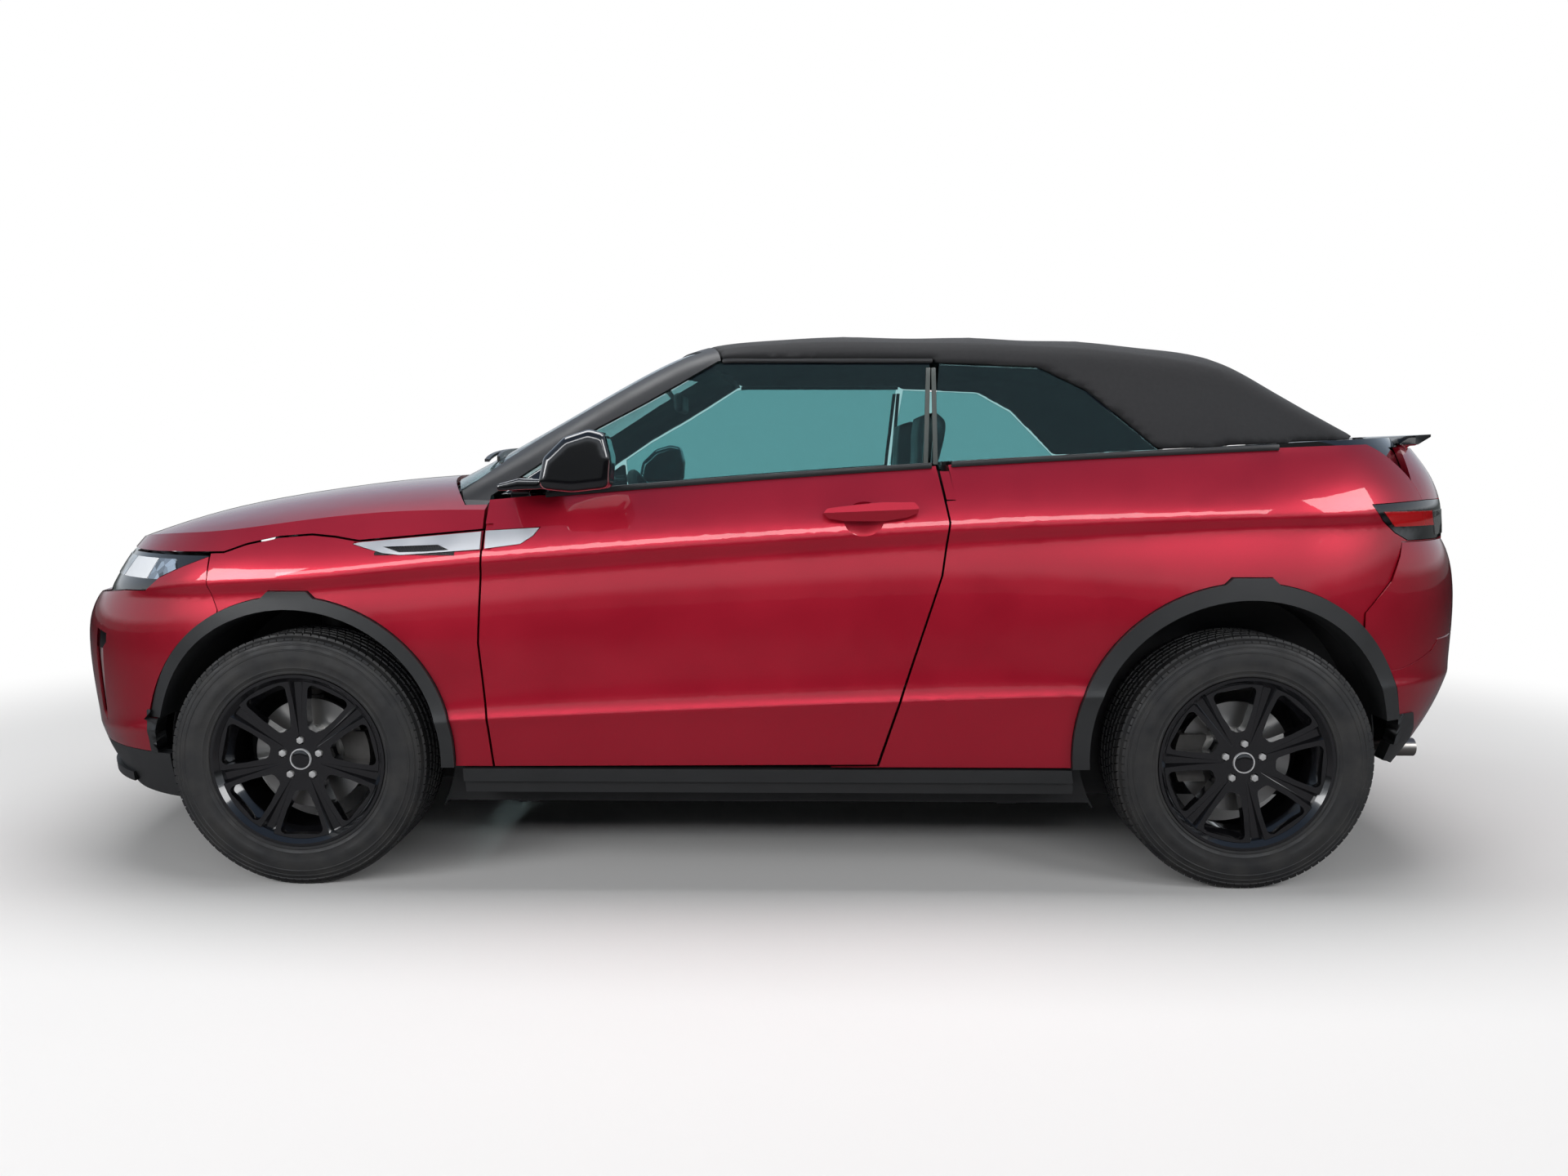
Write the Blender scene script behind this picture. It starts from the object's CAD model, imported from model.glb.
import math
from contextlib import contextmanager

import bpy
from mathutils import Matrix, Vector
from mathutils.bvhtree import BVHTree


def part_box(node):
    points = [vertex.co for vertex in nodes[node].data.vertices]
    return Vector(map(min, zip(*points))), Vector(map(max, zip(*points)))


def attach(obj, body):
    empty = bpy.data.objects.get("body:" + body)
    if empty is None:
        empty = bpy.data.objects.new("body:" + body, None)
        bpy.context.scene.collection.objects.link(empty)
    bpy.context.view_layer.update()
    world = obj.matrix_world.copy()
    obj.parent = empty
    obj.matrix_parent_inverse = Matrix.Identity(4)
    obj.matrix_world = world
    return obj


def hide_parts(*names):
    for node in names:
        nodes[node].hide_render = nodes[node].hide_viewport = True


bl_info = {
    "name": "Fabric roof convertible",
    "version": (1, 0, 0),
    "blender": (4, 5, 0),
    "location": "3D View > Sidebar > Convertible",
    "description": "Dresses the convertible's frame with paint, glass, rubber, cloth and trim",
    "category": "Object",
}

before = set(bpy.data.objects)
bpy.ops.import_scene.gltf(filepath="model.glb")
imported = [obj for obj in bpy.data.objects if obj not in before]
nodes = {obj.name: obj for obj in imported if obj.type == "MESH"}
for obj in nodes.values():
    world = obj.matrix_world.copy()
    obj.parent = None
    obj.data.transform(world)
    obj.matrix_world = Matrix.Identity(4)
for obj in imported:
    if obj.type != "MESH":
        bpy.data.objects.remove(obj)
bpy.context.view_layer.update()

# Points nearer than this are merged
MERGE = 0.00005
# Wall of the skins over the lamps
LENS_WALL = 0.0022
# What edit mode selects
VERTICES = (True, False, False)
FACES = (False, False, True)
# The bodies of a left and a right piece
BODY = ("body", "body")
DOORS = ("door_left", "door_right")

# Wheel centres, read from the frame
HUBS = {}
for end in ("front", "rear"):
    for side in ("left", "right"):
        low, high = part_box(f"tyre_{end}_{side}")
        HUBS[f"{end}_{side}"] = (low + high) / 2


# Selecting and finishing pieces

def nothing_selected():
    if bpy.context.mode != "OBJECT":
        bpy.ops.object.mode_set(mode="OBJECT")
    bpy.ops.object.select_all(action="DESELECT")


def only(obj):
    """Select this object alone and make it the active one."""
    nothing_selected()
    obj.select_set(True)
    bpy.context.view_layer.objects.active = obj


@contextmanager
def editing():
    """Edit mode on the active object, then object mode again."""
    bpy.ops.object.mode_set(mode="EDIT")
    yield
    bpy.ops.object.mode_set(mode="OBJECT")


def select_with(mode):
    bpy.context.tool_settings.mesh_select_mode = mode


def apply_place():
    """Put the active object's place, turn and scale into its mesh."""
    bpy.ops.object.transform_apply(location=True, rotation=True, scale=True)


def extrude(step):
    bpy.ops.mesh.extrude_region_move(TRANSFORM_OT_translate={"value": step})


def close_up():
    """In edit mode: merge the points that coincide and turn all faces outwards."""
    bpy.ops.mesh.select_all(action="SELECT")
    bpy.ops.mesh.remove_doubles(threshold=MERGE)
    bpy.ops.mesh.normals_make_consistent(inside=False)


def settle(obj):
    """Put the object's place into its mesh and turn its faces outwards."""
    only(obj)
    apply_place()
    with editing():
        close_up()


def dress(obj, name, body, material, smooth=35.0):
    """Name a finished piece, give it its finish and let it ride on its body."""
    obj.name = name
    obj.data.name = name
    obj.data.materials.clear()
    obj.data.materials.append(material)
    only(obj)
    bpy.ops.object.shade_smooth_by_angle(angle=math.radians(smooth))
    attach(obj, body)


def copied(obj, name):
    """A copy with its own mesh."""
    twin = bpy.data.objects.new(name, obj.data.copy())
    bpy.context.scene.collection.objects.link(twin)
    return twin


def joined(parts):
    nothing_selected()
    for part in parts:
        part.select_set(True)
    bpy.context.view_layer.objects.active = parts[0]
    bpy.ops.object.join()
    return parts[0]


def apply_modifiers(obj):
    only(obj)
    for modifier in list(obj.modifiers):
        bpy.ops.object.modifier_apply(modifier=modifier.name)


def softened(node, name, voxel, passes):
    """A copy of a node's solid, remeshed and smoothed."""
    piece = copied(nodes[node], name)
    settle(piece)
    mesher = piece.modifiers.new("mesh", "REMESH")
    mesher.mode = "VOXEL"
    mesher.voxel_size = voxel
    softer = piece.modifiers.new("soften", "SMOOTH")
    softer.factor = 0.5
    softer.iterations = passes
    apply_modifiers(piece)
    return piece


def shift(piece, moves):
    """Move each point of a mesh by its own step. The steps are worked out before any point moves."""
    for vertex, move in zip(piece.data.vertices, moves):
        vertex.co += move


def turned(rings, segments=96, twist=()):
    """A piece turned about the Y axis: a circle extruded through rings of (radius, y).

    The rings whose numbers are in twist turn by half a segment, one way and back.
    """
    nothing_selected()
    select_with(VERTICES)
    radius, y = rings[0]
    bpy.ops.mesh.primitive_circle_add(vertices=segments, radius=radius, location=(0, y, 0),
                                      rotation=(math.pi / 2, 0, 0))
    piece = bpy.context.active_object
    apply_place()
    with editing():
        bpy.ops.mesh.select_all(action="SELECT")
        for i, (next_radius, next_y) in enumerate(rings[1:], 1):
            extrude((0, next_y - y, 0))
            scale = next_radius / radius
            bpy.ops.transform.resize(value=(scale, 1, scale))
            if i in twist:
                way = 1 if twist.index(i) % 2 else -1
                bpy.ops.transform.rotate(value=math.pi / segments * way, orient_axis="Y",
                                         center_override=(0, next_y, 0))
            radius, y = next_radius, next_y
        close_up()
    return piece


def cuboid(place, size):
    """A plain box of this size, with its middle at this place."""
    nothing_selected()
    bpy.ops.mesh.primitive_cube_add(size=1.0, location=place)
    piece = bpy.context.active_object
    piece.scale = size
    apply_place()
    return piece


def pick_faces(obj, test):
    """Select the faces whose centre and normal pass a test, ready for edit mode."""
    only(obj)
    select_with(FACES)
    for item in list(obj.data.edges) + list(obj.data.vertices):
        item.select = False
    for polygon in obj.data.polygons:
        polygon.select = bool(test(polygon.center, polygon.normal))


def inset(obj, test, thickness, depth, each=False):
    """Inset the faces that pass a test, together or each by itself."""
    pick_faces(obj, test)
    with editing():
        bpy.ops.mesh.inset(thickness=thickness, depth=depth, use_individual=each)


def moved(obj, offset):
    obj.data.transform(Matrix.Translation(Vector(offset)))
    return obj


def mirror(obj):
    obj.data.transform(Matrix.Scale(-1, 4, (0, 1, 0)))


def other_side(obj):
    """The same piece for the right side, its faces turned outwards again."""
    twin = copied(obj, obj.name + "_twin")
    mirror(twin)
    settle(twin)
    return twin


def dress_both(piece, name, finish_name, bodies=BODY):
    """Dress a piece of the left side, and its mirror image on the right."""
    finish = finishes()[finish_name]
    dress(piece, f"{name}_left", bodies[0], finish)
    dress(other_side(piece), f"{name}_right", bodies[1], finish)


def faces_of(*names):
    """The faces of these nodes, ready to be touched by a ray."""
    corners, faces = [], []
    for name in names:
        mesh = nodes[name].data
        start = len(corners)
        corners += [vertex.co.copy() for vertex in mesh.vertices]
        faces += [[start + i for i in polygon.vertices] for polygon in mesh.polygons]
    return BVHTree.FromPolygons(corners, faces)


def touch(tree, start, direction):
    """Where a ray from outside first meets a surface, or None."""
    return tree.ray_cast(Vector(start), Vector(direction))[0]


def beside(tree, x, z):
    """Where a ray from the car's left first meets a surface, or None."""
    return touch(tree, (x, 1.6, z), (0, -1, 0))


# How a rail's first section is turned, by its axis
SECTION_TURN = {"X": (0, math.pi / 2, 0), "Y": (math.pi / 2, 0, 0), "Z": (0, 0, 0)}


def rail(path, across, deep, run="X", soft=0.0):
    """A strip drawn out from its first section, point by point. It runs along X, Y or Z."""
    nothing_selected()
    bpy.ops.mesh.primitive_plane_add(size=1.0, location=path[0], rotation=SECTION_TURN[run])
    strip = bpy.context.active_object
    strip.scale = (across, deep, 1)
    apply_place()
    with editing():
        bpy.ops.mesh.select_all(action="SELECT")
        for here, there in zip(path, path[1:]):
            extrude(Vector(there) - Vector(here))
        close_up()
    if soft:
        rounder = strip.modifiers.new("soft", "BEVEL")
        rounder.width = soft
        rounder.segments = 2
        rounder.angle_limit = math.radians(50)
        apply_modifiers(strip)
    return strip


def skin(node, facing, cuts, wall):
    """A patch over a node's own outer surface: faces that face one way, cut by planes, given a wall.

    Each cut is (point, normal), and what lies on the side that the normal points to goes.
    """
    patch = copied(nodes[node], "patch")
    settle(patch)
    pick_faces(patch, lambda centre, normal: not facing(centre, normal))
    with editing():
        bpy.ops.mesh.delete(type="FACE")
        for point, normal in cuts:
            bpy.ops.mesh.select_all(action="SELECT")
            bpy.ops.mesh.bisect(plane_co=point, plane_no=normal, clear_outer=True)
    if not patch.data.polygons:
        raise RuntimeError(f"nothing is left of the patch over {node}")
    shell = patch.modifiers.new("wall", "SOLIDIFY")
    shell.thickness = wall
    shell.offset = 1.0
    shell.use_even_offset = True
    apply_modifiers(patch)
    return patch


def side_cuts(corners):
    """Planes along Y that keep what lies inside a convex outline of (x, z) corners, in either order."""
    middle = Vector((sum(c[0] for c in corners), 0, sum(c[1] for c in corners))) / len(corners)
    cuts = []
    for (x0, z0), (x1, z1) in zip(corners, corners[1:] + corners[:1]):
        point = Vector((x0, 0, z0))
        normal = Vector((z1 - z0, 0, x0 - x1)).normalized()
        if normal.dot(middle - point) > 0:
            normal = -normal
        cuts.append((point, normal))
    return cuts


# Shared shader groups

def add(tree, kind, inputs=None, **settings):
    """A new node: its settings by name, then its inputs, each a value or the socket that feeds it."""
    node = tree.nodes.new("ShaderNode" + kind)
    for label, value in settings.items():
        setattr(node, label, value)
    for label, value in (inputs or {}).items():
        if isinstance(value, bpy.types.NodeSocket):
            tree.links.new(value, node.inputs[label])
        else:
            node.inputs[label].default_value = value
    return node


def object_place(tree):
    return add(tree, "TexCoord").outputs["Object"]


def new_group(name, inputs, outputs):
    """A shader group, the sockets it is given, each from (name, default), and those it fills."""
    group = bpy.data.node_groups.new(name, "ShaderNodeTree")
    for label, value in inputs:
        socket = group.interface.new_socket(label, in_out="INPUT", socket_type="NodeSocketFloat")
        socket.default_value = value
    for label in outputs:
        group.interface.new_socket(label, in_out="OUTPUT", socket_type="NodeSocketFloat")
    return group, group.nodes.new("NodeGroupInput").outputs, group.nodes.new("NodeGroupOutput").inputs


def build_uneven_group():
    """Slow variation over a surface, from Low to High."""
    group, given, sink = new_group("uneven_finish", [("Scale", 8.0), ("Low", 0.3), ("High", 0.5)], ["Value"])
    noise = add(group, "TexNoise", {"Vector": object_place(group), "Scale": given["Scale"], "Detail": 3.0})
    spread = add(group, "MapRange", {"Value": noise.outputs["Fac"], "From Min": 0.32, "From Max": 0.68,
                                     "To Min": given["Low"], "To Max": given["High"]})
    group.links.new(spread.outputs["Result"], sink["Value"])
    return group


def build_grain_group():
    """Moulded grain or leather grain: small rounded cells."""
    group, given, sink = new_group("moulded_grain", [("Scale", 700.0)], ["Height"])
    cells = add(group, "TexVoronoi", {"Vector": object_place(group), "Scale": given["Scale"]},
                feature="SMOOTH_F1")
    group.links.new(cells.outputs["Distance"], sink["Height"])
    return group


def build_weave_group():
    """A plain weave: two crossing families of threads, with a height and a shade."""
    group, given, sink = new_group("cloth_weave", [("Threads", 600.0)], ["Height", "Shade"])
    split = add(group, "SeparateXYZ", {"Vector": object_place(group)}).outputs
    across = add(group, "Math", {0: split["Y"], 1: split["Z"]}, operation="ADD")
    waves = []
    for start in (split["X"], across.outputs["Value"]):
        stretch = add(group, "Math", {0: start, 1: given["Threads"]}, operation="MULTIPLY")
        waves.append(add(group, "Math", {0: stretch.outputs["Value"]}, operation="SINE").outputs["Value"])
    cross = add(group, "Math", {0: waves[0], 1: waves[1]}, operation="MULTIPLY")
    group.links.new(cross.outputs["Value"], sink["Height"])
    fuzz = add(group, "TexNoise", {"Vector": object_place(group), "Scale": 90.0, "Detail": 4.0})
    group.links.new(fuzz.outputs["Fac"], sink["Shade"])
    return group


GROUPS = {}


def groups():
    """Every shared shader group, made once."""
    if not GROUPS:
        GROUPS.update(uneven=build_uneven_group(), grain=build_grain_group(), weave=build_weave_group())
    return GROUPS


# Materials

def material(name, colour, roughness=0.5, metallic=0.0, coat=0.0, coat_roughness=0.03, transmission=0.0,
             sheen=0.0, ior=1.5):
    """A new material whose plain values sit on the shader's own sockets."""
    made = bpy.data.materials.new(name)
    made.use_nodes = True
    shader = made.node_tree.nodes["Principled BSDF"]
    for label, value in (("Base Color", (*colour, 1.0)), ("Roughness", roughness), ("Metallic", metallic),
                         ("Coat Weight", coat), ("Coat Roughness", coat_roughness),
                         ("Transmission Weight", transmission), ("Sheen Weight", sheen), ("IOR", ior)):
        shader.inputs[label].default_value = value
    return made, made.node_tree, shader


def effect(tree, name, **values):
    """The outputs of a shared shader group, with these values on its inputs."""
    return add(tree, "Group", values, node_tree=groups()[name]).outputs


def vary_roughness(tree, shader, low, high, scale=8.0):
    uneven = effect(tree, "uneven", Scale=scale, Low=low, High=high)
    tree.links.new(uneven["Value"], shader.inputs["Roughness"])


def add_bump(tree, shader, height, strength, distance):
    bump = add(tree, "Bump", {"Height": height, "Strength": strength, "Distance": distance})
    tree.links.new(bump.outputs["Normal"], shader.inputs["Normal"])


def mix_colours(tree, factor, first, second):
    mix = add(tree, "Mix", {"A": (*first, 1.0), "B": (*second, 1.0), "Factor": factor}, data_type="RGBA")
    return mix.outputs["Result"]


def paint_finish(looks):
    """Deep metallic paint under clear lacquer: fine flake, and darker where it turns away."""
    base = tuple(looks.paint_colour)
    made, tree, shader = material("body_paint", base, 0.34, 0.62, coat=1.0, coat_roughness=0.02)
    weight = add(tree, "LayerWeight", {"Blend": 0.42})
    turned_away = mix_colours(tree, weight.outputs["Facing"], base, tuple(c * 0.42 for c in base))
    flake = add(tree, "TexVoronoi", {"Vector": object_place(tree), "Scale": 1500.0})
    sparkle = add(tree, "MapRange", {"Value": flake.outputs["Distance"], "From Min": 0.0, "From Max": 0.55,
                                     "To Min": 1.25, "To Max": 0.85})
    scale = add(tree, "VectorMath", {0: turned_away, "Scale": sparkle.outputs["Result"]}, operation="SCALE")
    tree.links.new(scale.outputs["Vector"], shader.inputs["Base Color"])
    vary_roughness(tree, shader, 0.30, 0.38, 5.0)
    return made


def plastic_finish(name, colour, low, high, grain=900.0, strength=0.25, coat=0.0):
    made, tree, shader = material(name, colour, (low + high) / 2, coat=coat, coat_roughness=0.05)
    vary_roughness(tree, shader, low, high, 7.0)
    if grain:
        add_bump(tree, shader, effect(tree, "grain", Scale=grain)["Height"], strength, 0.0004)
    return made


def coated_finish(name, colour, low, high):
    """Smooth moulded plastic under a clear coat."""
    return plastic_finish(name, colour, low, high, 0, coat=1.0)


def rubber_finish():
    """Tyre rubber with dusty patches."""
    made, tree, shader = material("tyre_rubber", (0.014, 0.014, 0.015), 0.62)
    dust = effect(tree, "uneven", Scale=14.0, Low=0.0, High=1.0)["Value"]
    tree.links.new(mix_colours(tree, dust, (0.010, 0.010, 0.011), (0.022, 0.021, 0.020)),
                   shader.inputs["Base Color"])
    vary_roughness(tree, shader, 0.50, 0.72, 22.0)
    add_bump(tree, shader, effect(tree, "grain", Scale=500.0)["Height"], 0.2, 0.0005)
    return made


def glass_finish(name, tint):
    return material(name, tint, 0.0, transmission=1.0, ior=1.45)[0]


def facet_finish(name, colour):
    """Silvered reflector behind a clear lens: small facets, each with a shade of its own."""
    made, tree, shader = material(name, colour, 0.14, 0.85, coat=1.0, coat_roughness=0.02)
    cells = add(tree, "TexVoronoi", {"Vector": object_place(tree), "Scale": 42.0})
    shade = add(tree, "SeparateColor", {"Color": cells.outputs["Color"]})
    dark = tuple(c * 0.35 for c in colour)
    pale = tuple(min(1.0, c * 1.9) for c in colour)
    tree.links.new(mix_colours(tree, shade.outputs["Red"], dark, pale), shader.inputs["Base Color"])
    add_bump(tree, shader, cells.outputs["Distance"], 0.5, 0.002)
    return made


def cloth_finish(looks):
    dark = tuple(looks.cloth_colour)
    made, tree, shader = material("roof_cloth", dark, 0.92, sheen=0.03)
    weave = effect(tree, "weave", Threads=math.tau / looks.thread_pitch)
    pale = tuple(c * 1.7 for c in dark)
    tree.links.new(mix_colours(tree, weave["Shade"], dark, pale), shader.inputs["Base Color"])
    add_bump(tree, shader, weave["Height"], 0.35, 0.0004)
    return made


def leather_finish():
    made, tree, shader = material("seat_leather", (0.018, 0.018, 0.020), 0.5)
    vary_roughness(tree, shader, 0.38, 0.55, 10.0)
    add_bump(tree, shader, effect(tree, "grain", Scale=420.0)["Height"], 0.3, 0.0006)
    return made


def metal_finish(name, colour, low, high, scale=30.0, metallic=1.0):
    made, tree, shader = material(name, colour, (low + high) / 2, metallic)
    vary_roughness(tree, shader, low, high, scale)
    return made


def disc_finish(name, centre):
    """Brake disc: fine turned rings about its own centre."""
    made, tree, shader = material(name, (0.38, 0.37, 0.36), 0.35, 1.0)
    place = add(tree, "Mapping", {"Vector": object_place(tree), "Location": (-centre.x, 0.0, -centre.z),
                                  "Scale": (1.0, 0.0, 1.0)})
    rings = add(tree, "TexWave", {"Vector": place.outputs["Vector"], "Scale": 140.0, "Distortion": 0.5},
                wave_type="RINGS", rings_direction="SPHERICAL").outputs["Fac"]
    tree.links.new(mix_colours(tree, rings, (0.30, 0.29, 0.28), (0.50, 0.49, 0.47)),
                   shader.inputs["Base Color"])
    add_bump(tree, shader, rings, 0.2, 0.0003)
    return made


FINISH = {}


def finishes():
    """Every finish, made once."""
    if FINISH:
        return FINISH
    looks = bpy.context.scene.convertible_looks
    FINISH.update(
        paint=paint_finish(looks),
        arch=plastic_finish("arch_plastic", (0.017, 0.018, 0.019), 0.42, 0.55),
        cabin=plastic_finish("cabin_plastic", (0.020, 0.020, 0.021), 0.50, 0.66, 1100.0, 0.35),
        gloss=coated_finish("gloss_black", (0.004, 0.004, 0.005), 0.06, 0.10),
        satin=plastic_finish("satin_black", (0.008, 0.008, 0.009), 0.26, 0.34, 0),
        strip=plastic_finish("belt_rubber", (0.008, 0.008, 0.009), 0.34, 0.5, 600.0, 0.1),
        structure=plastic_finish("underbody_coat", (0.012, 0.012, 0.013), 0.7, 0.85, 250.0, 0.4),
        rim=coated_finish("rim_black", (0.005, 0.005, 0.006), 0.10, 0.18),
        rubber=rubber_finish(),
        glass=glass_finish("screen_glass", tuple(math.sqrt(c) for c in looks.glass_tint)),
        side_glass=glass_finish("side_glass", tuple(looks.glass_tint)),
        cloth=cloth_finish(looks),
        leather=leather_finish(),
        silver=metal_finish("silver_paint", (0.55, 0.55, 0.56), 0.32, 0.42, 12.0, 0.75),
        chrome=metal_finish("bright_steel", (0.75, 0.75, 0.76), 0.30, 0.40, 40.0, 0.6),
        iron=metal_finish("cast_iron", (0.10, 0.095, 0.09), 0.55, 0.75, 35.0, 0.8),
        steel=metal_finish("exhaust_steel", (0.32, 0.30, 0.28), 0.28, 0.45, 18.0),
        bolt=metal_finish("bolt_steel", (0.50, 0.50, 0.50), 0.30, 0.42, 60.0, 0.5),
        seal_grey=plastic_finish("seal_grey", (0.055, 0.065, 0.060), 0.40, 0.55, 0),
        pillar=plastic_finish("pillar_black", (0.012, 0.012, 0.013), 0.42, 0.52, 0),
        plate=plastic_finish("plate_face", (0.70, 0.70, 0.68), 0.30, 0.38, 0),
        day_lamp=coated_finish("day_lamp", (0.80, 0.82, 0.85), 0.06, 0.12),
        facets=facet_finish("reflector_facets", (0.42, 0.46, 0.50)),
        smoke_lens=coated_finish("smoke_lens", (0.085, 0.09, 0.09), 0.06, 0.12),
        red_lens=coated_finish("red_lens", (0.32, 0.006, 0.008), 0.08, 0.14),
        disc_front=disc_finish("disc_front", HUBS["front_left"]),
        disc_rear=disc_finish("disc_rear", HUBS["rear_left"]),
    )
    return FINISH


# The scene's settings

class ConvertibleLooks(bpy.types.PropertyGroup):
    paint_colour: bpy.props.FloatVectorProperty(
        name="Paint", description="Colour of the body paint", subtype="COLOR", size=3, min=0.0, max=1.0,
        default=(0.50, 0.004, 0.026))
    cloth_colour: bpy.props.FloatVectorProperty(
        name="Roof cloth", description="Colour of the roof's woven cloth", subtype="COLOR", size=3, min=0.0,
        max=1.0, default=(0.010, 0.010, 0.011))
    glass_tint: bpy.props.FloatVectorProperty(
        name="Glass", description="Tint of one pane of glass", subtype="COLOR", size=3, min=0.0, max=1.0,
        default=(0.30, 0.54, 0.55))
    thread_pitch: bpy.props.FloatProperty(
        name="Thread pitch", description="Distance between threads of the roof cloth", unit="LENGTH",
        default=0.0022)
    tread_pitches: bpy.props.IntProperty(
        name="Tread pitches", description="Blocks round each tyre", default=96, min=40, max=160)
    tread_depth: bpy.props.FloatProperty(
        name="Tread depth", description="Depth of the tyres' grooves", unit="LENGTH", default=0.0062)
    cloth_sag: bpy.props.FloatProperty(
        name="Cloth sag", description="How far the roof cloth sinks between its bows", unit="LENGTH",
        default=0.005)


# Pieces

class CONVERTIBLE_OT_panels(bpy.types.Operator):
    """Give every part of the frame its finish"""
    bl_idname = "convertible.panels"
    bl_label = "Finish the panels"

    def execute(self, context):
        finish = finishes()
        table = {
            "paint": ["fender_left", "fender_right", "quarter_left", "quarter_right", "front_bumper",
                      "rear_bumper", "door_left", "door_right", "bonnet", "tailgate"],
            "structure": ["floor_pan"],
            "arch": ["front_guard", "rear_guard", "arch_trims", "sill_trims", "grille"],
            "cabin": ["dashboard", "steering_wheel"],
            "gloss": ["mirror_left", "mirror_right", "headlamps", "tail_lamps", "rear_deck"],
            "pillar": ["windscreen_frame"],
            "glass": ["windscreen"],
            "side_glass": ["rear_glass", "door_glass_left", "door_glass_right"],
            "cloth": ["soft_top"],
            "leather": ["front_seats", "rear_bench"],
            "iron": ["engine_block", "front_axle", "rear_axle", "knuckle_left", "knuckle_right"],
            "steel": ["exhaust"],
            "silver": ["vents", "door_vent_left", "door_vent_right"],
        }
        for hub in HUBS:
            table.setdefault("rim", []).append(f"rim_{hub}")
            table.setdefault("rubber", []).append(f"tyre_{hub}")
            table.setdefault("disc_" + hub.split("_")[0], []).append(f"brake_disc_{hub}")
        for key, names in table.items():
            for name in names:
                if name in nodes:
                    nodes[name].data.materials.clear()
                    nodes[name].data.materials.append(finish[key])
        return {"FINISHED"}


class CONVERTIBLE_OT_tyres(bpy.types.Operator):
    """Model one tyre with its tread blocks and side wall rings, and fit it on each wheel"""
    bl_idname = "convertible.tyres"
    bl_label = "Tyres"

    def execute(self, context):
        looks = context.scene.convertible_looks
        depth = looks.tread_depth
        low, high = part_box("tyre_front_left")
        # Floor of the grooves: the blocks end 0.6 mm inside the frame's tyre
        base = (high.z - low.z) / 2 - depth - 0.0006
        # One half of the profile, as (radius, y), from the bead out to the middle of the tread
        wall = [(0.231, 0.099), (0.2465, 0.1005), (0.2475, 0.1095), (0.2505, 0.1125), (0.2545, 0.1128),
                (0.2565, 0.1112), (0.264, 0.1130), (0.2655, 0.1142), (0.2675, 0.1142), (0.269, 0.1140),
                (0.284, 0.1170), (0.300, 0.1172), (0.314, 0.1160), (0.3155, 0.1170), (0.3180, 0.1168),
                (0.3195, 0.1152), (0.329, 0.1132), (0.3303, 0.1142), (0.3328, 0.1138), (0.334, 0.1120),
                (0.3405, 0.1095), (0.3490, 0.1035), (base - 0.0012, 0.0960)]
        half = wall + [(base, y) for y in (0.0640, 0.0560, 0.0330, 0.0250, 0.0040)]
        # The rings where the tread turns by half a block, and back, so that its blocks lean
        shoulder = len(wall) - 1
        leaning = [shoulder + 1, shoulder + 4, shoulder + 5, shoulder + 8]
        tyre = turned(half + [(r, -y) for r, y in reversed(half)], looks.tread_pitches, leaning)
        only(tyre)
        # Close the bead
        select_with(VERTICES)
        with editing():
            bpy.ops.mesh.select_all(action="DESELECT")
            bpy.ops.mesh.select_non_manifold()
            bpy.ops.mesh.bridge_edge_loops()

        def on_tread(centre, normal):
            bands = ((0.0640, 0.0960), (0.0330, 0.0560), (0.0040, 0.0250))
            return (math.hypot(centre.x, centre.z) > base - 0.006
                    and any(near < abs(centre.y) < far for near, far in bands))

        def on_shoulder(centre, normal):
            return 0.3405 < math.hypot(centre.x, centre.z) < 0.3490 and 0.095 < abs(centre.y)

        def on_arc(centre, normal):
            arcs = ((20, 62), (110, 150), (200, 242), (290, 330))
            turn = math.degrees(math.atan2(centre.z, centre.x)) % 360
            return (0.286 < math.hypot(centre.x, centre.z) < 0.299 and abs(centre.y) > 0.1
                    and any(start < turn < end for start, end in arcs))

        # Tread blocks, the shoulder ribs that carry them down the wall, and raised arcs on the wall
        inset(tyre, on_tread, 0.0019, depth, each=True)
        inset(tyre, on_shoulder, 0.0018, 0.0022, each=True)
        inset(tyre, on_arc, 0.0015, 0.0004)
        settle(tyre)
        for hub, centre in HUBS.items():
            piece = moved(copied(tyre, "tread"), centre)
            dress(piece, f"tyre_tread_{hub}", f"wheel_{hub}", finishes()["rubber"], 28.0)
            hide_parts(f"tyre_{hub}")
        bpy.data.objects.remove(tyre)
        return {"FINISHED"}


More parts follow.
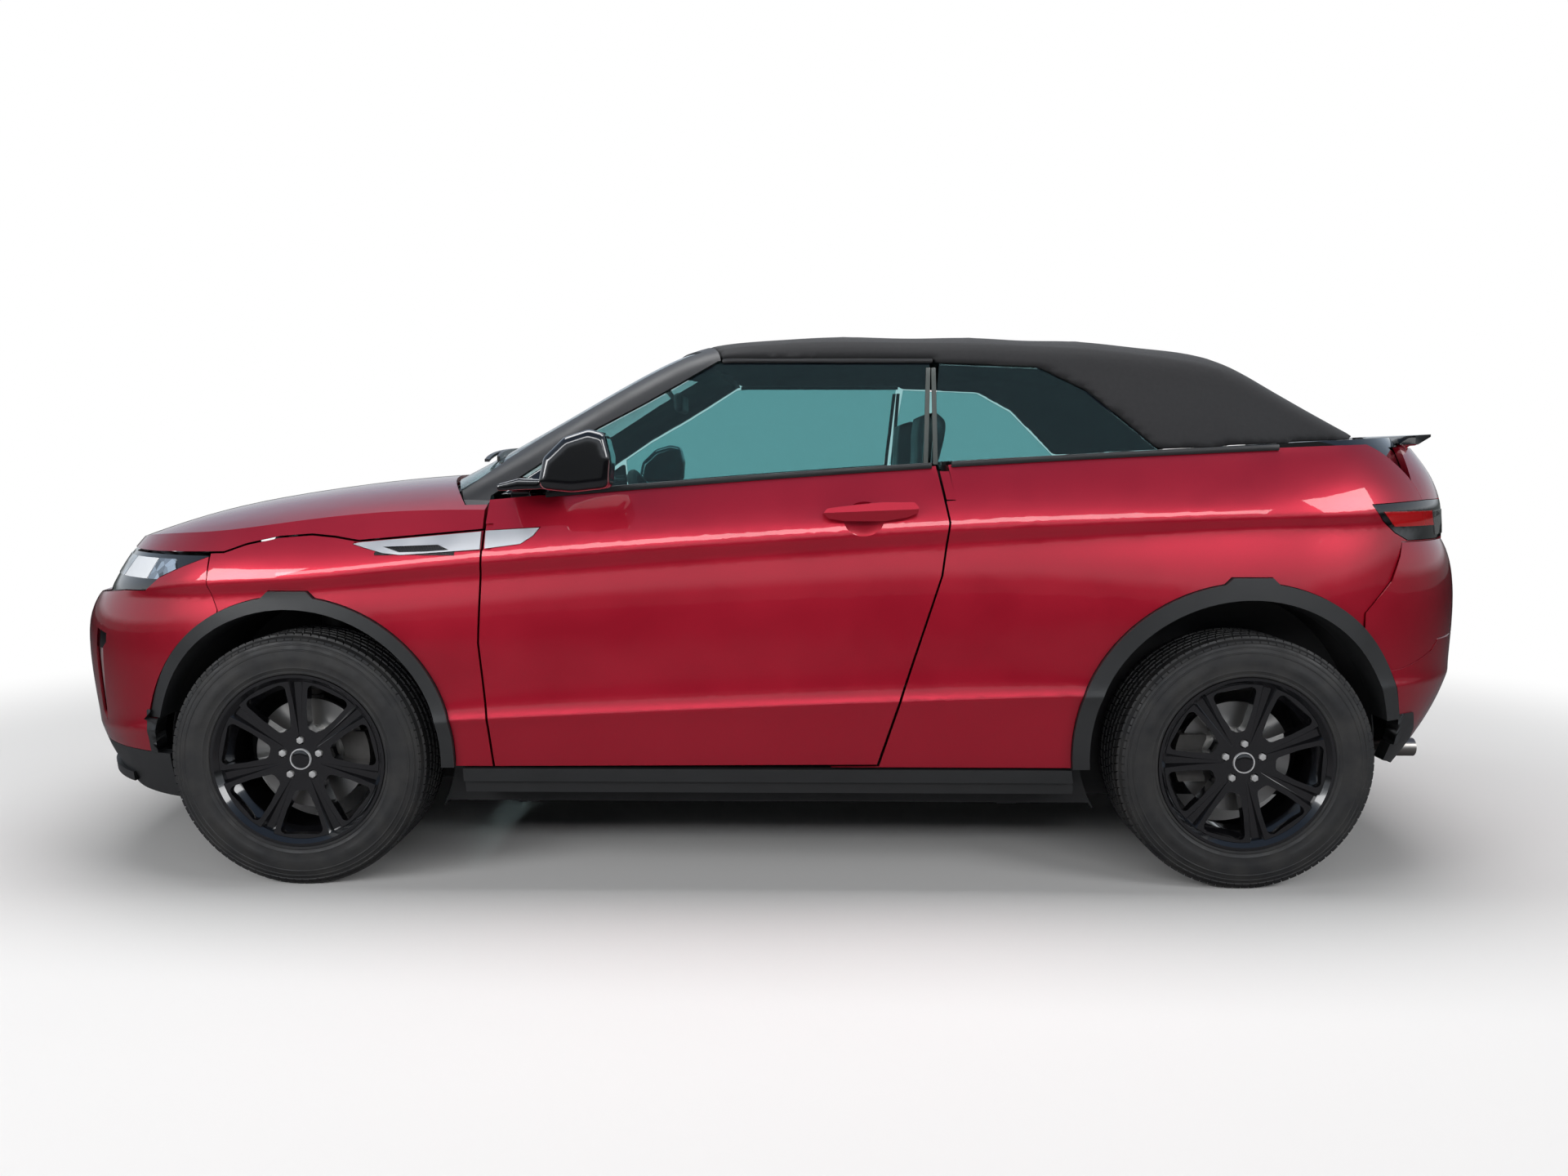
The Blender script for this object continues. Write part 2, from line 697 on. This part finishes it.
class CONVERTIBLE_OT_wheel_details(bpy.types.Operator):
    """Centre caps with their rings, and lug bolts"""
    bl_idname = "convertible.wheel_details"
    bl_label = "Wheel details"

    def execute(self, context):
        cap = turned([(0.0005, 0.0905), (0.012, 0.0905), (0.020, 0.0898), (0.0245, 0.0885),
                      (0.0255, 0.0865), (0.0260, 0.0780)], 64)
        ring = turned([(0.0262, 0.0780), (0.0262, 0.0880), (0.0272, 0.0900), (0.0292, 0.0900),
                       (0.0302, 0.0882), (0.0302, 0.0780)], 64)
        bolt = turned([(0.0004, 0.0900), (0.0060, 0.0900), (0.0095, 0.0893), (0.0105, 0.0880),
                       (0.0105, 0.0640)], 6)
        collar = turned([(0.0110, 0.0640), (0.0118, 0.0700), (0.0125, 0.0690), (0.0125, 0.0640)], 24)
        lug = joined([bolt, collar])
        settle(lug)
        bolt_circle = 0.054
        for hub, centre in HUBS.items():
            bolts = []
            for i in range(5):
                turn = math.radians(90 + 72 * i)
                place = (bolt_circle * math.cos(turn), 0, bolt_circle * math.sin(turn))
                bolts.append(moved(copied(lug, "lug"), place))
            for piece, name, finish_name, slot in ((copied(cap, "cap"), "centre_cap", "gloss", "rim"),
                                                   (copied(ring, "ring"), "cap_ring", "chrome", "steel"),
                                                   (joined(bolts), "lug_bolts", "bolt", "steel")):
                if hub.endswith("right"):
                    mirror(piece)
                settle(moved(piece, centre))
                dress(piece, f"{name}_{hub}", f"wheel_{hub}", finishes()[finish_name])
        for piece in (cap, ring, lug):
            bpy.data.objects.remove(piece)
        return {"FINISHED"}


class CONVERTIBLE_OT_roof(bpy.types.Operator):
    """The fabric roof: cloth over bows, with its seams"""
    bl_idname = "convertible.roof"
    bl_label = "Fabric roof"

    def execute(self, context):
        looks = context.scene.convertible_looks
        roof = softened("soft_top", "roof", 0.012, 4)
        bows = [0.20, -0.246, -0.640, -0.979, -1.370]

        def sag(x):
            for ahead, behind in zip(bows, bows[1:]):
                if behind < x < ahead:
                    return math.sin(math.pi * (x - behind) / (ahead - behind)) ** 2
            return 0.0

        def slack(vertex):
            """Down between the bows, and out along the seams and over each bow."""
            x, y = vertex.co.xy
            n = vertex.normal
            across = max(0.0, 1.0 - (abs(y) / 0.60) ** 4)
            drop = looks.cloth_sag * sag(x) * across if n.z > 0.2 else 0.0
            seam = abs(y) - 0.555
            welt = 0.0016 * math.exp(-(seam / 0.010) ** 2) if n.z > 0.2 and x > -1.38 else 0.0
            if n.z > 0.5:
                welt += sum(0.0010 * math.exp(-((x - bow) / 0.012) ** 2) * across for bow in bows[1:])
            return n * welt - Vector((0, 0, drop))

        shift(roof, [slack(vertex) for vertex in roof.data.vertices])
        dress(roof, "roof_cloth", "body", finishes()["cloth"], 60.0)
        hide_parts("soft_top")
        return {"FINISHED"}


class CONVERTIBLE_OT_seals(bpy.types.Operator):
    """Rubber seals round the side windows and along the roof's lower edge"""
    bl_idname = "convertible.seals"
    bl_label = "Window seals"

    def execute(self, context):
        roof = faces_of("soft_top")
        door_glass = faces_of("door_glass_left")
        # Along the roof's lower edge, over the door's window: down the cloth until a ray misses it
        path = []
        for i in range(25):
            x = 0.12 - i * 0.026
            z = 1.56
            while z > 1.40 and beside(roof, x, z - 0.002):
                z -= 0.002
            edge = beside(roof, x, z)
            if edge and z > 1.42:
                path.append((x, edge.y - 0.001, z - 0.003))
        dress_both(rail(path, 0.013, 0.012, "X", 0.003), "roof_seal", "strip")
        # The grey pair of seals between the door's window and the fixed one: one opens with the door
        for name, bodies, low_x, high_x in (("b_seal_front", DOORS, -0.4700, -0.4905),
                                            ("b_seal_rear", BODY, -0.4980, -0.5060)):
            path = []
            for i in range(11):
                z = 1.194 + i * 0.0286
                glass = beside(door_glass, -0.450, z)
                if glass:
                    path.append((low_x + (high_x - low_x) * i / 10, glass.y + 0.0035, z))
            dress_both(rail(path, 0.0135, 0.008, "Z", 0.0025), name, "seal_grey", bodies)
        # Belt mouldings along the foot of the windows
        for name, node, start, end, bodies in (
                ("belt_moulding_door", "door_left", 0.600, -0.478, DOORS),
                ("belt_moulding_rear", "quarter_left", -0.532, -1.440, BODY)):
            wall = faces_of(node)
            path = []
            for i in range(25):
                x = start + (end - start) * i / 24
                belt_height = 1.157 - 0.0745 * x - 0.011 * x * x
                edge = beside(wall, x, belt_height - 0.012)
                if edge:
                    path.append((x, edge.y - 0.0035, belt_height + 0.001))
            dress_both(rail(path, 0.017, 0.008, "X", 0.003), name, "strip", bodies)
        # Painted corner of the rear quarter beside the door's upper edge
        wall = faces_of("quarter_left")
        path = []
        for i in range(6):
            z = 1.098 + i * 0.0155
            edge = beside(wall, -0.545, z)
            if edge:
                path.append((-0.5275 + 0.0155 * i / 5, edge.y - 0.004, z))
        dress_both(rail(path, 0.0255, 0.008, "Z"), "quarter_corner", "paint")
        return {"FINISHED"}


class CONVERTIBLE_OT_lamps(bpy.types.Operator):
    """Bright strips, facets and coloured lenses on the lamp units, front and rear"""
    bl_idname = "convertible.lamps"
    bl_label = "Lamps"

    def execute(self, context):
        def outward(centre, normal):
            return centre.y > 0 and (normal.y > 0.25 or abs(normal.x) > 0.25) and normal.z > -0.6

        def headlamp(centre, normal):
            return outward(centre, normal) and centre.z > 0.80 and centre.x > 1.5 and normal.x > -0.2

        def tail_lamp(centre, normal):
            return outward(centre, normal) and normal.x < 0.2

        # Front: facets on the inner part and the rear end, and a bright day lamp between them
        inboard = [((0, 0.721, 0), (0, 1, 0))]
        outboard = [((0, 0.725, 0), (0, -1, 0))]
        ahead = side_cuts([(1.748, 0.868), (2.160, 0.868), (2.160, 0.925), (1.718, 0.925)])
        behind = side_cuts([(1.640, 0.897), (1.700, 0.868), (1.744, 0.868), (1.714, 0.925), (1.650, 0.925)])
        # Rear: a red bar in the unit's upper half, and a smoky part behind it
        bar = side_cuts([(-1.722, 1.066), (-1.765, 1.024), (-1.935, 1.024), (-1.920, 1.066)])
        smoke = side_cuts([(-1.926, 1.066), (-1.945, 0.996), (-2.200, 0.996), (-2.200, 1.066)])
        for node, facing, cuts, name, finish_name, slot in (
                ("headlamps", headlamp, ahead + inboard, "reflector_inner", "facets", "lamp"),
                ("headlamps", headlamp, behind, "reflector", "facets", "lamp"),
                ("headlamps", headlamp, ahead + outboard, "day_lamp", "day_lamp", "lamp"),
                ("tail_lamps", tail_lamp, bar, "tail_bar", "red_lens", "tail_lamp"),
                ("tail_lamps", tail_lamp, smoke, "tail_smoke", "smoke_lens", "lamp")):
            dress_both(skin(node, facing, cuts, LENS_WALL), name, finish_name)
        return {"FINISHED"}


class CONVERTIBLE_OT_arch_feet(bpy.types.Operator):
    """Dark lower ends of the wheel arch trims, over the corners of both bumpers"""
    bl_idname = "convertible.arch_feet"
    bl_label = "Arch feet"

    def execute(self, context):
        wall = 0.005
        front = skin("front_bumper", lambda c, n: c.y > 0.7 and (n.y > 0.2 or n.x < -0.3),
                     side_cuts([(1.640, 0.497), (1.745, 0.497), (1.741, 0.365), (1.640, 0.365)]), wall)
        rear = skin("rear_bumper", lambda c, n: c.y > 0.6 and (n.y > 0.2 or n.x > 0.3),
                    side_cuts([(-1.600, 0.493), (-1.862, 0.493), (-1.886, 0.440), (-1.888, 0.395),
                               (-1.600, 0.395)]), wall)
        dress_both(front, "arch_foot_front", "arch")
        dress_both(rear, "arch_foot_rear", "arch")
        return {"FINISHED"}


class CONVERTIBLE_OT_linings(bpy.types.Operator):
    """Dark cards on the doors' inner faces and a mat under the bonnet"""
    bl_idname = "convertible.linings"
    bl_label = "Linings"

    def execute(self, context):
        wall = 0.0025
        card = skin("door_left", lambda c, n: n.y < -0.6,
                    side_cuts([(0.585, 0.500), (0.585, 1.050), (-0.440, 1.110), (-0.340, 0.500)]), wall)
        dress_both(card, "door_card", "cabin", DOORS)
        mat = skin("bonnet", lambda c, n: n.z < -0.6 and abs(c.y) < 0.70,
                   [((1.70, 0, 0), (1, 0, 0)), ((0.80, 0, 0), (-1, 0, 0)),
                    ((0, 0.62, 0), (0, 1, 0)), ((0, -0.62, 0), (0, -1, 0))], wall)
        dress(mat, "bonnet_mat", "bonnet", finishes()["arch"])
        return {"FINISHED"}


class CONVERTIBLE_OT_vent_mesh(bpy.types.Operator):
    """Honeycomb mesh behind the side vents' slots"""
    bl_idname = "convertible.vent_mesh"
    bl_label = "Vent mesh"

    def execute(self, context):
        wing = faces_of("fender_left")
        cell = 0.0085
        nothing_selected()
        bpy.ops.mesh.primitive_circle_add(vertices=6, radius=cell / 2, fill_type="NGON",
                                          rotation=(math.pi / 2, 0, 0))
        one = context.active_object
        apply_place()
        with editing():
            bpy.ops.mesh.select_all(action="SELECT")
            bpy.ops.mesh.inset(thickness=cell * 0.13)
            bpy.ops.mesh.delete(type="FACE")
            bpy.ops.mesh.select_all(action="SELECT")
            extrude((0, -0.003, 0))
        combs = []
        for row in range(5):
            for column in range(30):
                x = 0.846 + cell * (0.866 * column + 0.433 * (row % 2))
                if x < 1.060:
                    combs.append(moved(copied(one, "comb"), (x, 0, 0.947 + row * cell * 0.75)))
        mesh = joined(combs)
        settle(mesh)
        for vertex in mesh.data.vertices:
            wall = beside(wing, vertex.co.x, vertex.co.z)
            if wall:
                vertex.co.y += wall.y + 0.0035
        bpy.data.objects.remove(one)
        back = skin("fender_left", lambda c, n: n.y > 0.5 and c.y > 0.8,
                    side_cuts([(0.842, 0.944), (1.062, 0.944), (1.062, 0.976), (0.842, 0.976)]), 0.0012)
        dress_both(back, "vent_back", "arch")
        dress_both(mesh, "vent_mesh", "satin")
        return {"FINISHED"}


class CONVERTIBLE_OT_spoiler_skin(bpy.types.Operator):
    """Gloss black skin over the wing of the lid's spoiler"""
    bl_idname = "convertible.spoiler_skin"
    bl_label = "Spoiler skin"

    def execute(self, context):
        wing = skin("tailgate", lambda c, n: c.z > 1.240 and c.x < -1.85, [((0, 0, 1.256), (0, 0, -1))],
                    0.0016)
        dress(wing, "spoiler_skin", "tailgate", finishes()["gloss"])
        return {"FINISHED"}


class CONVERTIBLE_OT_mirrors(bpy.types.Operator):
    """Rounded shells of the door mirrors"""
    bl_idname = "convertible.mirrors"
    bl_label = "Door mirrors"

    def execute(self, context):
        for side in ("left", "right"):
            shell = softened(f"mirror_{side}", "shell", 0.004, 14)
            dress(shell, f"mirror_shell_{side}", f"door_{side}", finishes()["gloss"], 50.0)
            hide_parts(f"mirror_{side}")
        return {"FINISHED"}


class CONVERTIBLE_OT_wipers(bpy.types.Operator):
    """Two wiper arms with blades, at the foot of the windscreen"""
    bl_idname = "convertible.wipers"
    bl_label = "Wipers"

    def execute(self, context):
        screen = faces_of("windscreen", "windscreen_frame", "bonnet")
        for name, start, end in (("left", 0.62, -0.02), ("right", 0.02, -0.56)):
            for part, ahead, lift, across, deep in (("blade", 0.0, 0.010, 0.009, 0.014),
                                                    ("arm", 0.035, 0.022, 0.014, 0.008)):
                path = []
                for i in range(13):
                    t = i / 12
                    y = start + (end - start) * t
                    # Along the foot of the screen, which sweeps back towards the sides
                    x = 0.842 + ahead * (1 - t) - 0.10 * (y / 0.85) ** 2
                    found = touch(screen, (x, y, 1.9), (0, 0, -1))
                    if found:
                        path.append((x, y, found.z + lift))
                dress(rail(path, across, deep, "Y"), f"wiper_{part}_{name}", "body", finishes()["satin"])
        return {"FINISHED"}


class CONVERTIBLE_OT_cabin_mirror(bpy.types.Operator):
    """The rear-view mirror under the windscreen's header"""
    bl_idname = "convertible.cabin_mirror"
    bl_label = "Rear-view mirror"

    def execute(self, context):
        head = cuboid((0.300, 0, 1.405), (0.030, 0.235, 0.062))
        rounder = head.modifiers.new("round", "BEVEL")
        rounder.width = 0.013
        rounder.segments = 4
        apply_modifiers(head)
        stem = rail([(0.318, 0, 1.415), (0.345, 0, 1.445), (0.352, 0, 1.470)], 0.022, 0.020, "Z", 0.004)
        piece = joined([head, stem])
        settle(piece)
        dress(piece, "rear_view_mirror", "body", finishes()["cabin"])
        return {"FINISHED"}


class CONVERTIBLE_OT_plates(bpy.types.Operator):
    """Blank number plates on their seats, front and rear"""
    bl_idname = "convertible.plates"
    bl_label = "Blank plates"

    def execute(self, context):
        for name, x, z, sign in (("front", 2.168, 0.699, 1), ("rear", -2.172, 0.826, -1)):
            plate = cuboid((x + sign * 0.0035, 0, z), (0.005, 0.510, 0.108))
            pick_faces(plate, lambda centre, normal: normal.x * sign > 0.9)
            with editing():
                bpy.ops.mesh.inset(thickness=0.005, depth=0.0)
                bpy.ops.mesh.inset(thickness=0.0015, depth=-0.0012)
            settle(plate)
            dress(plate, f"plate_{name}", "body", finishes()["plate"])
        return {"FINISHED"}


class CONVERTIBLE_OT_seats(bpy.types.Operator):
    """Crowned seat covers with seams, over the front seats and the rear bench"""
    bl_idname = "convertible.seats"
    bl_label = "Seats"

    def execute(self, context):
        cushion_top = 0.62
        radians_per_metre = 44.0
        for node, name, seams in (("front_seats", "seat_covers", (0.22, 0.52)),
                                  ("rear_bench", "bench_cover", (0.06, 0.31, 0.56))):

            def swell(vertex):
                """Out in rolls between the seams, and in along each seam."""
                x, y, z = vertex.co
                across = abs(y)
                pull = sum(math.exp(-((across - seam) / 0.007) ** 2) for seam in seams)
                along = z if z > cushion_top else x
                rolls = 0.5 + 0.5 * math.cos(along * radians_per_metre)
                inside = seams[0] < across < seams[1] or node == "rear_bench"
                crown = 0.0035 * rolls - 0.002 if inside else 0.001
                return vertex.normal * (crown - 0.0045 * min(pull, 1.0))

            cover = softened(node, name, 0.012, 6)
            shift(cover, [swell(vertex) for vertex in cover.data.vertices])
            dress(cover, name, "body", finishes()["leather"], 60.0)
            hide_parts(node)
        return {"FINISHED"}


# Floor, world and camera

def mix_shaders(tree, factor, first, second):
    """The first shader where the factor is 0, and the second where it is 1."""
    return add(tree, "MixShader", {"Fac": factor, 1: first, 2: second}).outputs["Shader"]


def floor_finish():
    """Pale floor that fades to plain white away from the car, and looks darker in the paint's reflections."""
    made, tree, near = material("studio_floor", (0.80, 0.80, 0.80), 0.9)
    far = add(tree, "Emission", {"Color": (1.0, 1.0, 1.0, 1.0), "Strength": 1.0})
    flat = add(tree, "VectorMath", {0: object_place(tree)}, operation="LENGTH")
    fade = add(tree, "MapRange", {"Value": flat.outputs["Value"], "From Min": 2.7, "From Max": 5.0},
               interpolation_type="SMOOTHSTEP")
    seen = mix_shaders(tree, fade.outputs["Result"], near.outputs["BSDF"], far.outputs["Emission"])
    dim = add(tree, "BsdfDiffuse", {"Color": (0.16, 0.16, 0.17, 1.0)})
    path = add(tree, "LightPath").outputs
    tree.links.new(mix_shaders(tree, path["Is Glossy Ray"], seen, dim.outputs["BSDF"]),
                   tree.nodes["Material Output"].inputs["Surface"])
    return made


def studio_world():
    """White behind the car, a soft sky for its light, and a dimmer one for its reflections."""
    world = bpy.data.worlds.new("studio_light")
    world.use_nodes = True
    tree = world.node_tree
    light = tree.nodes["Background"]
    light.inputs["Strength"].default_value = 0.55
    split = add(tree, "SeparateXYZ", {"Vector": add(tree, "TexCoord").outputs["Generated"]})
    sky = add(tree, "ValToRGB", {"Fac": split.outputs["Z"]})
    low, high = sky.color_ramp.elements
    low.position = 0.02
    low.color = (0.10, 0.11, 0.11, 1.0)
    high.position = 0.75
    high.color = (0.16, 0.22, 0.32, 1.0)
    for place, colour in ((0.07, (0.62, 0.66, 0.70, 1.0)), (0.30, (0.42, 0.50, 0.60, 1.0))):
        sky.color_ramp.elements.new(place).color = colour
    dim = add(tree, "Background", {"Color": sky.outputs["Color"], "Strength": 1.0})
    white = add(tree, "Background", {"Color": (1.0, 1.0, 1.0, 1.0), "Strength": 1.0})
    path = add(tree, "LightPath").outputs
    seen = add(tree, "Math", {0: path["Is Camera Ray"], 1: path["Is Transmission Ray"]}, operation="MAXIMUM")
    sky_or_dim = mix_shaders(tree, path["Is Glossy Ray"], light.outputs["Background"],
                             dim.outputs["Background"])
    tree.links.new(mix_shaders(tree, seen.outputs["Value"], sky_or_dim, white.outputs["Background"]),
                   tree.nodes["World Output"].inputs["Surface"])
    return world


class CONVERTIBLE_OT_stage(bpy.types.Operator):
    """Floor, backdrop, soft lights and the camera at the photograph's viewpoint"""
    bl_idname = "convertible.stage"
    bl_label = "Stage"

    def execute(self, context):
        scene = context.scene
        scene.view_settings.view_transform = "Standard"
        nothing_selected()
        bpy.ops.mesh.primitive_plane_add(size=60.0, location=(0, 0, 0))
        floor = context.active_object
        floor.name = "studio_floor"
        floor.data.materials.append(floor_finish())
        scene.world = studio_world()
        for name, place, target, size, power in (
                ("softbox_over", (0.0, -0.4, 5.2), (0, -0.4, 0), (7.0, 3.0), 330.0),
                ("softbox_front", (4.6, 4.4, 2.6), (0.6, 0.2, 0.7), (2.4, 1.8), 110.0),
                ("softbox_rear", (-4.8, 3.6, 2.8), (-0.8, 0.2, 0.8), (2.2, 1.8), 80.0),
                ("softbox_side", (0.2, 6.5, 3.2), (0, 0.9, 0.6), (9.0, 0.9), 150.0)):
            bpy.ops.object.light_add(type="AREA", location=place)
            lamp = context.active_object
            lamp.name = name
            lamp.data.shape = "RECTANGLE"
            lamp.data.size, lamp.data.size_y = size
            lamp.data.energy = power
            lamp.rotation_euler = (Vector(target) - Vector(place)).to_track_quat("-Z", "Y").to_euler()
        # The camera: a focal length of 1450 pixels in a picture 1920 pixels wide
        camera_data = bpy.data.cameras.new("photo_camera")
        camera = bpy.data.objects.new("photo_camera", camera_data)
        scene.collection.objects.link(camera)
        camera_data.sensor_width = 36.0
        camera_data.lens = 36.0 * 1450.0 / 1920.0
        camera_data.clip_end = 200.0
        pitch, yaw, roll = math.radians(5.77), math.radians(-0.60), math.radians(0.08)
        flat = Vector((-math.sin(yaw), -math.cos(yaw), 0))
        right = Vector((-math.cos(yaw), math.sin(yaw), 0))
        ahead = flat * math.cos(pitch) - Vector((0, 0, 1)) * math.sin(pitch)
        up = Vector((0, 0, 1)) * math.cos(pitch) + flat * math.sin(pitch)
        across = right * math.cos(roll) + up * math.sin(roll)
        above = up * math.cos(roll) - right * math.sin(roll)
        turn = Matrix((across, above, -ahead)).transposed().to_4x4()
        camera.matrix_world = Matrix.Translation((-0.102, 4.171, 1.183)) @ turn
        scene.camera = camera
        return {"FINISHED"}


class CONVERTIBLE_PT_panel(bpy.types.Panel):
    bl_idname = "CONVERTIBLE_PT_panel"
    bl_label = "Convertible"
    bl_space_type = "VIEW_3D"
    bl_region_type = "UI"
    bl_category = "Convertible"

    def draw(self, context):
        looks = context.scene.convertible_looks
        for name in ("paint_colour", "cloth_colour", "glass_tint", "thread_pitch", "tread_pitches",
                     "tread_depth", "cloth_sag"):
            self.layout.prop(looks, name)
        for operator in OPERATORS:
            self.layout.operator(operator.bl_idname)


OPERATORS = (
    CONVERTIBLE_OT_panels,
    CONVERTIBLE_OT_tyres,
    CONVERTIBLE_OT_wheel_details,
    CONVERTIBLE_OT_roof,
    CONVERTIBLE_OT_seals,
    CONVERTIBLE_OT_lamps,
    CONVERTIBLE_OT_arch_feet,
    CONVERTIBLE_OT_linings,
    CONVERTIBLE_OT_vent_mesh,
    CONVERTIBLE_OT_spoiler_skin,
    CONVERTIBLE_OT_mirrors,
    CONVERTIBLE_OT_wipers,
    CONVERTIBLE_OT_cabin_mirror,
    CONVERTIBLE_OT_plates,
    CONVERTIBLE_OT_seats,
    CONVERTIBLE_OT_stage,
)


def register():
    bpy.utils.register_class(ConvertibleLooks)
    for operator in OPERATORS:
        bpy.utils.register_class(operator)
    bpy.utils.register_class(CONVERTIBLE_PT_panel)
    bpy.types.Scene.convertible_looks = bpy.props.PointerProperty(type=ConvertibleLooks)


def unregister():
    del bpy.types.Scene.convertible_looks
    bpy.utils.unregister_class(CONVERTIBLE_PT_panel)
    for operator in reversed(OPERATORS):
        bpy.utils.unregister_class(operator)
    bpy.utils.unregister_class(ConvertibleLooks)


def main():
    register()
    for operator in OPERATORS:
        group, name = operator.bl_idname.split(".")
        getattr(getattr(bpy.ops, group), name)()


if __name__ == "__main__":
    main()
